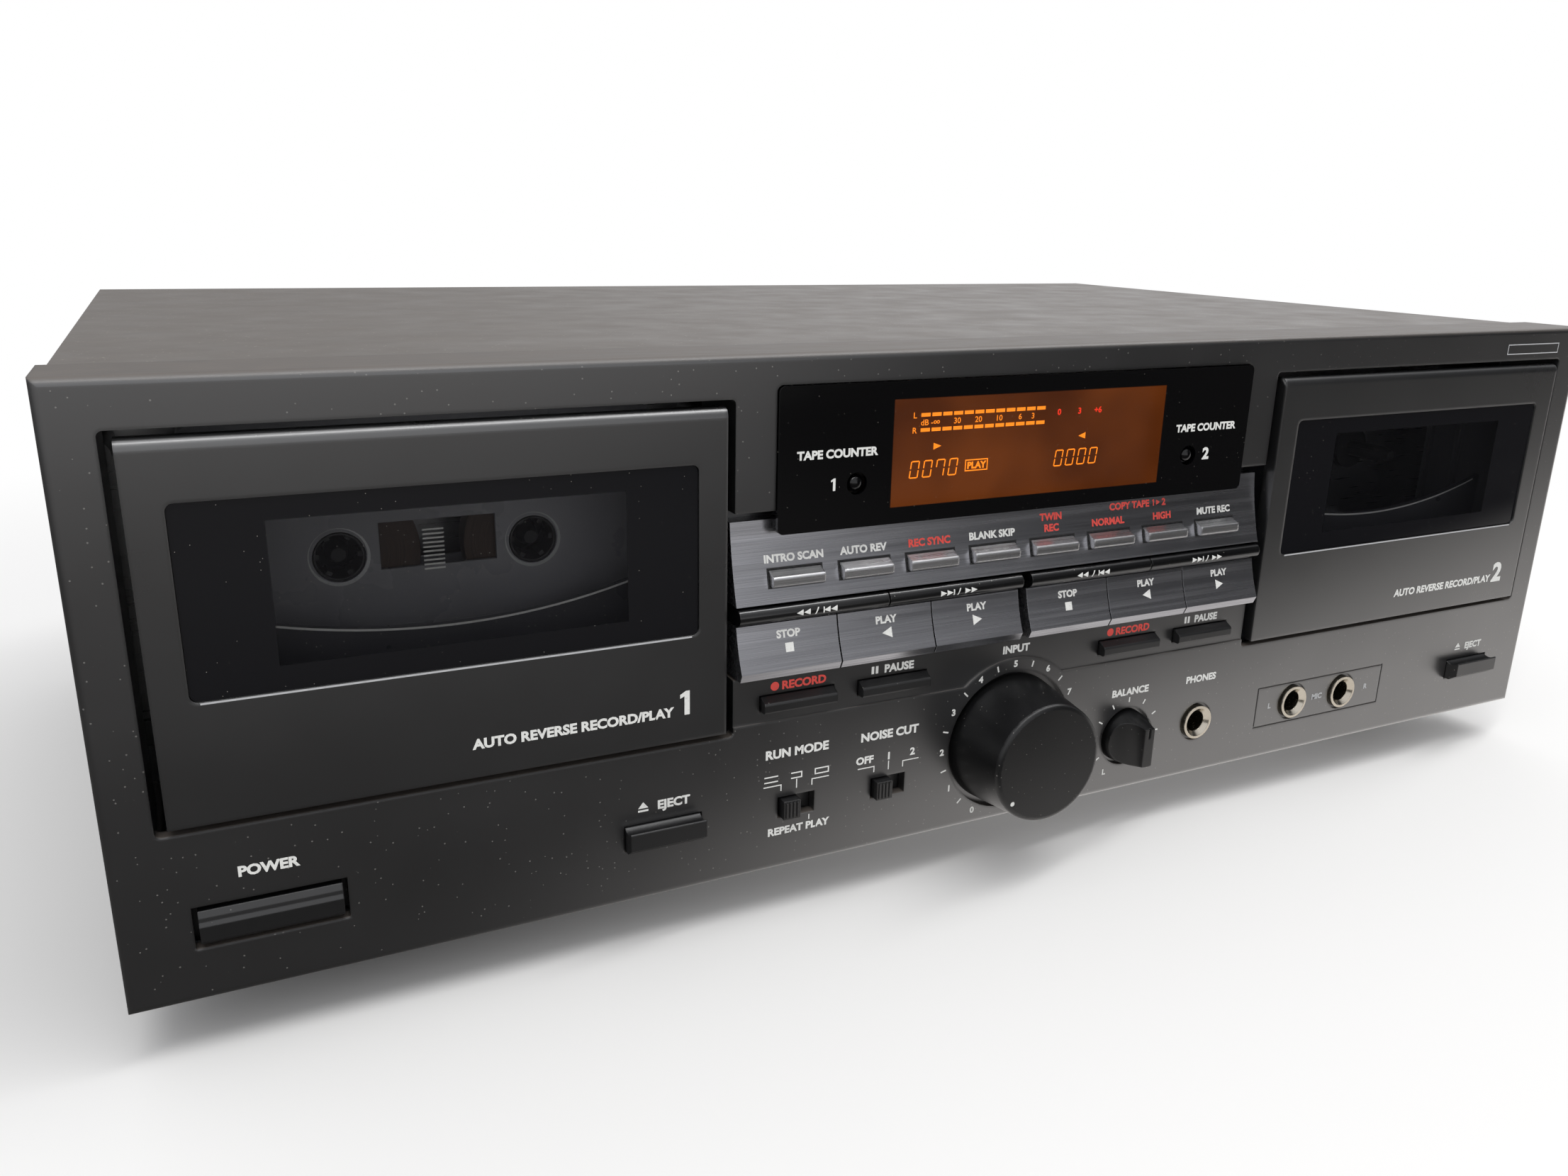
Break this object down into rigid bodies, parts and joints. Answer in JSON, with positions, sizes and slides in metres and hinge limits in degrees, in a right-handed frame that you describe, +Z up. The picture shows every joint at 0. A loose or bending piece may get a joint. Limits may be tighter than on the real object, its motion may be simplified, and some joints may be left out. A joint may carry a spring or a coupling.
{
  "type": "double cassette deck",
  "caption": "Double cassette deck with swing-out wells, a tape in one, transport keys, amber display, level and balance dials and front jacks.",
  "frame": {"origin": "middle of the overall box on the floor plane", "axes": "X to the right along the front, Y from the front to the back, Z up"},
  "size_m": [0.435, 0.2834, 0.143],
  "materials": {
    "front_abs": "satin black moulded plastic",
    "door_abs": "satin black moulded plastic",
    "holder_abs": "matt black moulded plastic",
    "button_abs": "satin black moulded plastic",
    "knob_abs": "satin black moulded plastic",
    "brushed_trim": "brushed gunmetal skin on moulded plastic",
    "gloss_black": "polished black",
    "window_acrylic": "smoked clear, polished",
    "display_glass": "lit amber",
    "cover_steel": "black textured paint",
    "tray_steel": "zinc-plated sheet",
    "plate_steel": "plated sheet",
    "core_iron": "varnished laminations",
    "screw_steel": "blackened",
    "nickel": "nickel plated",
    "socket_plastic": "moulded plastic",
    "circuit_board": "solder mask",
    "spindle_nylon": "moulded nylon",
    "tape_shell": "grey clear moulding",
    "tape_reel": "wound brown tape on a white hub",
    "foot_rubber": "matt"
  },
  "bodies": {
    "deck": {"front_bezel": "front_abs", "control_panel": "brushed_trim", "display_window": "gloss_black", "display_module": "display_glass", "top_cover": "cover_steel", "chassis_tray": "tray_steel", "feet": "foot_rubber", "case_screws": "screw_steel", "jack_sockets": "nickel", "rear_sockets": "socket_plastic", "main_board": "circuit_board", "key_board": "circuit_board", "power_transformer": "core_iron", "mechanism_plates": "plate_steel", "tape_heads": "plate_steel", "drive_motors": "plate_steel"},
    "door_1": {"door_1": "door_abs", "door_window_1": "window_acrylic", "cassette_holder_1": "holder_abs", "cassette_shell": "tape_shell"},
    "door_2": {"door_2": "door_abs", "door_window_2": "window_acrylic", "cassette_holder_2": "holder_abs"},
    "spindle_left_1": {"spindle_left_1": "spindle_nylon"},
    "spindle_right_1": {"spindle_right_1": "spindle_nylon"},
    "spindle_left_2": {"spindle_left_2": "spindle_nylon"},
    "spindle_right_2": {"spindle_right_2": "spindle_nylon"},
    "cassette_reel_left": {"cassette_reel_left": "tape_reel"},
    "cassette_reel_right": {"cassette_reel_right": "tape_reel"},
    "input_knob": {"input_knob": "knob_abs"},
    "balance_knob": {"balance_knob": "knob_abs"},
    "mode_switch": {"mode_switch": "button_abs"},
    "noise_switch": {"noise_switch": "button_abs"},
    "power_button": {"power_button": "button_abs"},
    "eject_button_1": {"eject_button_1": "button_abs"},
    "eject_button_2": {"eject_button_2": "button_abs"},
    "rewind_bar_1": {"rewind_bar_1": "gloss_black"},
    "rewind_bar_2": {"rewind_bar_2": "gloss_black"},
    "forward_bar_1": {"forward_bar_1": "gloss_black"},
    "forward_bar_2": {"forward_bar_2": "gloss_black"},
    "stop_key_1": {"stop_key_1": "brushed_trim"},
    "stop_key_2": {"stop_key_2": "brushed_trim"},
    "reverse_key_1": {"reverse_key_1": "brushed_trim"},
    "reverse_key_2": {"reverse_key_2": "brushed_trim"},
    "play_key_1": {"play_key_1": "brushed_trim"},
    "play_key_2": {"play_key_2": "brushed_trim"},
    "record_button_1": {"record_button_1": "button_abs"},
    "record_button_2": {"record_button_2": "button_abs"},
    "pause_button_1": {"pause_button_1": "button_abs"},
    "pause_button_2": {"pause_button_2": "button_abs"},
    "counter_button_1": {"counter_button_1": "button_abs"},
    "counter_button_2": {"counter_button_2": "button_abs"},
    "function_button_1": {"function_button_1": "brushed_trim"},
    "function_button_2": {"function_button_2": "brushed_trim"},
    "function_button_3": {"function_button_3": "brushed_trim"},
    "function_button_4": {"function_button_4": "brushed_trim"},
    "function_button_5": {"function_button_5": "brushed_trim"},
    "function_button_6": {"function_button_6": "brushed_trim"},
    "function_button_7": {"function_button_7": "brushed_trim"},
    "function_button_8": {"function_button_8": "brushed_trim"}
  },
  "joints": [
    {"name": "door_1_swing", "type": "hinge", "parent": "deck", "child": "door_1", "pos_m": [-0.1455, -0.1123, 0.04], "axis": [1, 0, 0], "range_deg": [0, 20]},
    {"name": "door_2_swing", "type": "hinge", "parent": "deck", "child": "door_2", "pos_m": [0.1455, -0.1123, 0.04], "axis": [1, 0, 0], "range_deg": [0, 20]},
    {"name": "spindle_left_1_spin", "type": "hinge", "parent": "deck", "child": "spindle_left_1", "pos_m": [-0.16675, -0.0883, 0.0998], "axis": [0, 1, 0], "continuous": true},
    {"name": "spindle_right_1_spin", "type": "hinge", "parent": "deck", "child": "spindle_right_1", "pos_m": [-0.12425, -0.0883, 0.0998], "axis": [0, 1, 0], "continuous": true},
    {"name": "spindle_left_2_spin", "type": "hinge", "parent": "deck", "child": "spindle_left_2", "pos_m": [0.12425, -0.0883, 0.0998], "axis": [0, 1, 0], "continuous": true},
    {"name": "spindle_right_2_spin", "type": "hinge", "parent": "deck", "child": "spindle_right_2", "pos_m": [0.16675, -0.0883, 0.0998], "axis": [0, 1, 0], "continuous": true},
    {"name": "cassette_reel_left_spin", "type": "hinge", "parent": "door_1", "child": "cassette_reel_left", "pos_m": [-0.16675, -0.098, 0.0998], "axis": [0, 1, 0], "continuous": true},
    {"name": "cassette_reel_right_spin", "type": "hinge", "parent": "door_1", "child": "cassette_reel_right", "pos_m": [-0.12425, -0.098, 0.0998], "axis": [0, 1, 0], "continuous": true},
    {"name": "input_knob_turn", "type": "hinge", "parent": "deck", "child": "input_knob", "pos_m": [0, -0.1293, 0.0364], "axis": [0, 1, 0], "range_deg": [-19, 281]},
    {"name": "balance_knob_turn", "type": "hinge", "parent": "deck", "child": "balance_knob", "pos_m": [0.0415, -0.1283, 0.0301], "axis": [0, 1, 0], "range_deg": [-150, 150]},
    {"name": "mode_switch_slide", "type": "slide", "parent": "deck", "child": "mode_switch", "axis": [1, 0, 0], "range_m": [0, 0.0044]},
    {"name": "noise_switch_slide", "type": "slide", "parent": "deck", "child": "noise_switch", "axis": [1, 0, 0], "range_m": [0, 0.0044]},
    {"name": "power_button_press", "type": "slide", "parent": "deck", "child": "power_button", "axis": [0, 1, 0], "range_m": [-0.002, 0.001]},
    {"name": "eject_button_1_press", "type": "slide", "parent": "deck", "child": "eject_button_1", "axis": [0, 1, 0], "range_m": [0, 0.003], "stiffness_N_per_m": 300, "springref_m": -0.002},
    {"name": "eject_button_2_press", "type": "slide", "parent": "deck", "child": "eject_button_2", "axis": [0, 1, 0], "range_m": [0, 0.003], "stiffness_N_per_m": 300, "springref_m": -0.002},
    {"name": "rewind_bar_1_press", "type": "slide", "parent": "deck", "child": "rewind_bar_1", "axis": [0, 1, 0], "range_m": [0, 0.0012], "stiffness_N_per_m": 300, "springref_m": -0.002},
    {"name": "rewind_bar_2_press", "type": "slide", "parent": "deck", "child": "rewind_bar_2", "axis": [0, 1, 0], "range_m": [0, 0.0012], "stiffness_N_per_m": 300, "springref_m": -0.002},
    {"name": "forward_bar_1_press", "type": "slide", "parent": "deck", "child": "forward_bar_1", "axis": [0, 1, 0], "range_m": [0, 0.0012], "stiffness_N_per_m": 300, "springref_m": -0.002},
    {"name": "forward_bar_2_press", "type": "slide", "parent": "deck", "child": "forward_bar_2", "axis": [0, 1, 0], "range_m": [0, 0.0012], "stiffness_N_per_m": 300, "springref_m": -0.002},
    {"name": "stop_key_1_press", "type": "slide", "parent": "deck", "child": "stop_key_1", "axis": [0, 1, 0], "range_m": [0, 0.0012], "stiffness_N_per_m": 300, "springref_m": -0.002},
    {"name": "stop_key_2_press", "type": "slide", "parent": "deck", "child": "stop_key_2", "axis": [0, 1, 0], "range_m": [0, 0.0012], "stiffness_N_per_m": 300, "springref_m": -0.002},
    {"name": "reverse_key_1_press", "type": "slide", "parent": "deck", "child": "reverse_key_1", "axis": [0, 1, 0], "range_m": [0, 0.0012], "stiffness_N_per_m": 300, "springref_m": -0.002},
    {"name": "reverse_key_2_press", "type": "slide", "parent": "deck", "child": "reverse_key_2", "axis": [0, 1, 0], "range_m": [0, 0.0012], "stiffness_N_per_m": 300, "springref_m": -0.002},
    {"name": "play_key_1_press", "type": "slide", "parent": "deck", "child": "play_key_1", "axis": [0, 1, 0], "range_m": [0, 0.0012], "stiffness_N_per_m": 300, "springref_m": -0.002},
    {"name": "play_key_2_press", "type": "slide", "parent": "deck", "child": "play_key_2", "axis": [0, 1, 0], "range_m": [0, 0.0012], "stiffness_N_per_m": 300, "springref_m": -0.002},
    {"name": "record_button_1_press", "type": "slide", "parent": "deck", "child": "record_button_1", "axis": [0, 1, 0], "range_m": [0, 0.0012], "stiffness_N_per_m": 300, "springref_m": -0.002},
    {"name": "record_button_2_press", "type": "slide", "parent": "deck", "child": "record_button_2", "axis": [0, 1, 0], "range_m": [0, 0.0012], "stiffness_N_per_m": 300, "springref_m": -0.002},
    {"name": "pause_button_1_press", "type": "slide", "parent": "deck", "child": "pause_button_1", "axis": [0, 1, 0], "range_m": [0, 0.0012], "stiffness_N_per_m": 300, "springref_m": -0.002},
    {"name": "pause_button_2_press", "type": "slide", "parent": "deck", "child": "pause_button_2", "axis": [0, 1, 0], "range_m": [0, 0.0012], "stiffness_N_per_m": 300, "springref_m": -0.002},
    {"name": "counter_button_1_press", "type": "slide", "parent": "deck", "child": "counter_button_1", "axis": [0, 1, 0], "range_m": [0, 0.0012], "stiffness_N_per_m": 300, "springref_m": -0.002},
    {"name": "counter_button_2_press", "type": "slide", "parent": "deck", "child": "counter_button_2", "axis": [0, 1, 0], "range_m": [0, 0.0012], "stiffness_N_per_m": 300, "springref_m": -0.002},
    {"name": "function_button_1_press", "type": "slide", "parent": "deck", "child": "function_button_1", "axis": [0, 1, 0], "range_m": [0, 0.0012], "stiffness_N_per_m": 300, "springref_m": -0.002},
    {"name": "function_button_2_press", "type": "slide", "parent": "deck", "child": "function_button_2", "axis": [0, 1, 0], "range_m": [0, 0.0012], "stiffness_N_per_m": 300, "springref_m": -0.002},
    {"name": "function_button_3_press", "type": "slide", "parent": "deck", "child": "function_button_3", "axis": [0, 1, 0], "range_m": [0, 0.0012], "stiffness_N_per_m": 300, "springref_m": -0.002},
    {"name": "function_button_4_press", "type": "slide", "parent": "deck", "child": "function_button_4", "axis": [0, 1, 0], "range_m": [0, 0.0012], "stiffness_N_per_m": 300, "springref_m": -0.002},
    {"name": "function_button_5_press", "type": "slide", "parent": "deck", "child": "function_button_5", "axis": [0, 1, 0], "range_m": [0, 0.0012], "stiffness_N_per_m": 300, "springref_m": -0.002},
    {"name": "function_button_6_press", "type": "slide", "parent": "deck", "child": "function_button_6", "axis": [0, 1, 0], "range_m": [0, 0.0012], "stiffness_N_per_m": 300, "springref_m": -0.002},
    {"name": "function_button_7_press", "type": "slide", "parent": "deck", "child": "function_button_7", "axis": [0, 1, 0], "range_m": [0, 0.0012], "stiffness_N_per_m": 300, "springref_m": -0.002},
    {"name": "function_button_8_press", "type": "slide", "parent": "deck", "child": "function_button_8", "axis": [0, 1, 0], "range_m": [0, 0.0012], "stiffness_N_per_m": 300, "springref_m": -0.002}
  ],
  "couplings": [
    {"joint": "cassette_reel_left_spin", "follows": "spindle_left_1_spin", "ratio": 1},
    {"joint": "cassette_reel_right_spin", "follows": "spindle_right_1_spin", "ratio": 1}
  ]
}
